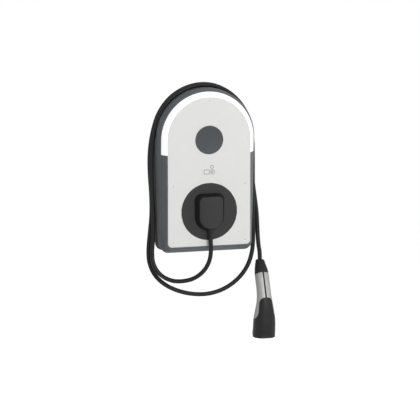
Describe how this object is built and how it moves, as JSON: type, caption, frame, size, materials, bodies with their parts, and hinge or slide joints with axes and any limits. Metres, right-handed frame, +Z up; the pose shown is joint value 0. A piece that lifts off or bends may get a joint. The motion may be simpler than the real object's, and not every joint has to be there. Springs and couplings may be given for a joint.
{
  "type": "electric vehicle wall charger",
  "caption": "Arched wall charging unit with a lit band, round outlet cover and hood, and a captive lead wound round it that ends in a hanging vehicle connector.",
  "frame": {"origin": "middle of the four wall fixings, on the wall face of the bracket", "axes": "+Z up the wall, the wall is the plane Y = 0, the front faces -Y, +X to the right seen from the front"},
  "size_m": [0.384, 0.131, 0.7715],
  "materials": {
    "steel_zinc": "zinc-plated steel, satin",
    "screw_steel": "stainless steel, satin",
    "grey_housing": "fine textured dark blue-grey polycarbonate",
    "base_housing": "fine textured dark grey polycarbonate",
    "white_panel": "satin white polycarbonate",
    "diffuser": "translucent white acrylic, lit",
    "black_cover": "fine textured black plastic",
    "window_grey": "satin dark grey plastic",
    "cable_black": "black cable sheath, satin",
    "boot_black": "soft black elastomer",
    "grip_silver": "silver lacquered shell",
    "nose_black": "black glass-filled nylon",
    "contact_silver": "silver-plated copper",
    "board_green": "solder mask",
    "board_white": "white solder mask",
    "led_body": "clear resin over phosphor",
    "device_grey": "light grey moulded housing",
    "device_dark": "dark moulded housing",
    "terminal_grey": "grey polyamide",
    "grommet_rubber": "EPDM rubber",
    "cover_grey": "grey polycarbonate"
  },
  "bodies": {
    "root": {"wall_bracket": "steel_zinc", "bracket_screws": "screw_steel", "rear_base": "base_housing", "supply_grommet": "grommet_rubber", "mounting_rail": "steel_zinc", "rail_screws": "screw_steel", "contactor": "device_grey", "energy_meter": "device_grey", "residual_current_sensor": "device_grey", "terminal_block": "terminal_grey", "control_board": "board_green", "board_screws": "screw_steel", "power_supply": "device_dark", "board_sockets": "device_dark", "inner_cover": "cover_grey", "cover_screws": "screw_steel", "front_frame": "grey_housing", "light_diffuser": "diffuser", "led_board": "board_white", "leds": "led_body", "front_panel": "white_panel", "panel_screws": "screw_steel", "reader_window": "window_grey", "reader_board": "board_green", "outlet_cover": "black_cover", "retaining_ring": "device_dark", "cable_boot": "boot_black", "lead_inside": "cable_black", "cable_clamp": "device_dark", "charging_cord": "cable_black", "connector_boot": "boot_black", "grip_shell_left": "grip_silver", "grip_shell_right": "grip_silver", "grip_seam": "boot_black", "nose_cover": "nose_black", "nose_shell": "nose_black", "contact_carrier": "nose_black", "contacts": "contact_silver"}
  },
  "joints": []
}
